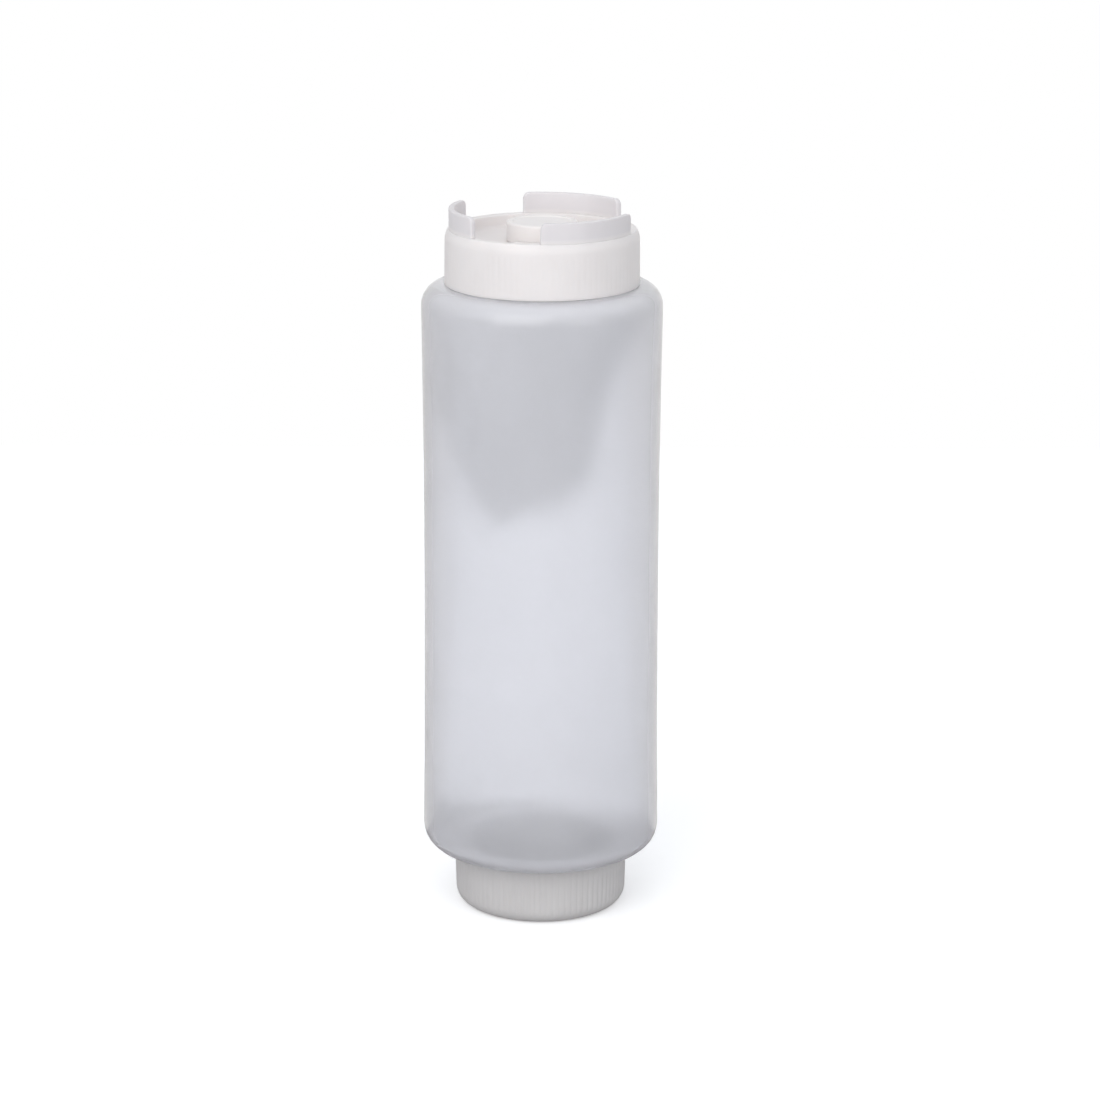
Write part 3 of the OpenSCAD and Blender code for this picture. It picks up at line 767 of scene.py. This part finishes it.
def lighten_corner(card, colour):
    """Lightens the upright card smoothly towards its upper left corner."""
    tree = card.data.materials[0].node_tree
    nodes, links = tree.nodes, tree.links
    place = nodes.new("ShaderNodeTexCoord")
    parts = nodes.new("ShaderNodeSeparateXYZ")
    links.new(place.outputs["Object"], parts.inputs["Vector"])
    mix = nodes.new("ShaderNodeMix")
    mix.data_type = "RGBA"
    share = nodes.new("ShaderNodeMath")
    share.operation = "MULTIPLY"
    for i, (axis, none, full) in enumerate((("X", 6, -22), ("Z", 128, 172))):
        reach = nodes.new("ShaderNodeMapRange")
        reach.inputs["From Min"].default_value = none * MM
        reach.inputs["From Max"].default_value = full * MM
        links.new(parts.outputs[axis], reach.inputs["Value"])
        links.new(reach.outputs["Result"], share.inputs[i])
    links.new(share.outputs["Value"], mix.inputs["Factor"])
    surface = nodes["Principled BSDF"]
    mix.inputs["A"].default_value = surface.inputs["Emission Color"].default_value
    mix.inputs["B"].default_value = (*colour, 1)
    links.new(mix.outputs["Result"], surface.inputs["Emission Color"])


def make_cards():
    """Grey cards behind the upper half and at each side, which draw the clear body, with a painted shadow under the
    bottle that shows through the body and painted shade round it that shows in the gloss.
    """
    in_mm = lambda outline: [(x * MM, z * MM) for x, z in outline]
    behind = make_card("card_behind", in_mm(CARD_BEHIND), DARK_CARD_AND_SHADOW, (0, 0.075, 0))
    behind.visible_glossy = False
    lighten_corner(behind, DARK_CARD_CORNER)
    # painted shadow: a dark disc under the bottle, seen only through the body
    under = make_card("shadow_card_under", in_mm(SHADOW_UNDER_OUTLINE), DARK_CARD_AND_SHADOW, (0, 0, 0.0002), (math.radians(-90), 0, 0))
    under.visible_glossy = False
    # painted shade: a grey disc round the bottle, seen only in the gloss, which darkens the floor's reflection in the
    # foot
    reflected_shade = make_card("painted_reflected_shade", in_mm(CARD_ROUND), REFLECTED_SHADE_GLOW, (0, 0, 0.0001), (math.radians(-90), 0, 0))
    reflected_shade.visible_transmission = False
    tall = [(-0.2, 0.0), (0.2, 0.0), (0.2, 0.35), (-0.2, 0.35)]
    for name, side, colour in (("card_left", -1, LEFT_CARD), ("card_right", 1, RIGHT_CARD)):
        make_card(name, tall, colour, (side * 0.245, 0.02, 0), (0, 0, side * math.radians(-10)))


def make_world():
    """Plain soft surroundings, white where the camera looks past the floor."""
    world = bpy.data.worlds.new("studio")
    bpy.context.scene.world = world
    world.use_nodes = True
    nodes, links = world.node_tree.nodes, world.node_tree.links
    room = nodes["Background"]
    room.inputs["Color"].default_value = (0.50, 0.52, 0.55, 1)
    white = nodes.new("ShaderNodeBackground")
    white.inputs["Color"].default_value = (1, 1, 1, 1)
    path = nodes.new("ShaderNodeLightPath")
    choice = nodes.new("ShaderNodeMixShader")
    seen = any_of(nodes, links, path, "Is Camera Ray", "Is Glossy Ray", "Is Transmission Ray")
    links.new(seen.outputs["Value"], choice.inputs["Fac"])
    links.new(room.outputs["Background"], choice.inputs[1])
    links.new(white.outputs["Background"], choice.inputs[2])
    links.new(choice.outputs["Shader"], nodes["World Output"].inputs["Surface"])


def add_softbox(name, place, aim, width, height, power, colour=(1, 1, 1)):
    lamp = bpy.data.lights.new(name, "AREA")
    lamp.shape = "RECTANGLE"
    lamp.size = width
    lamp.size_y = height
    lamp.energy = power
    lamp.color = colour
    holder = bpy.data.objects.new(name, lamp)
    bpy.context.scene.collection.objects.link(holder)
    holder.location = place
    holder.rotation_euler = (Vector(aim) - Vector(place)).to_track_quat("-Z", "Y").to_euler()


def make_camera():
    """The photograph's view: from 1.1 m in front of the bottle and 0.42 m up, looking 15 degrees down."""
    photo_width_px = 1100
    focal_px = 3569.7
    data = bpy.data.cameras.new("photo_view")
    data.sensor_width = 36
    data.lens = focal_px / photo_width_px * data.sensor_width
    data.clip_start = 0.05
    data.clip_end = 50
    camera = bpy.data.objects.new("photo_view", data)
    bpy.context.scene.collection.objects.link(camera)
    camera.location = (0.00275, -1.1, 0.4194)
    tilt = Matrix.Rotation(math.radians(90 - 15.344), 3, "X")
    roll = Matrix.Rotation(math.radians(0.2), 3, "Z")
    camera.rotation_euler = (tilt @ roll).to_euler()
    bpy.context.scene.camera = camera


make_floor()
make_cards()
make_world()
middle = (0, 0, (cad_low[2] + cad_high[2]) / 2)
add_softbox("key_box", (-0.55, -1.35, 0.95), middle, 1.6, 1.6, 14.7)
add_softbox("fill_box", (0.95, -1.1, 0.5), middle, 1.0, 1.2, 3)
add_softbox("top_box", (0, 0.15, 1.5), middle, 1.4, 1.4, 2.5)
make_camera()

view = bpy.context.scene.view_settings
view.view_transform = "Standard"
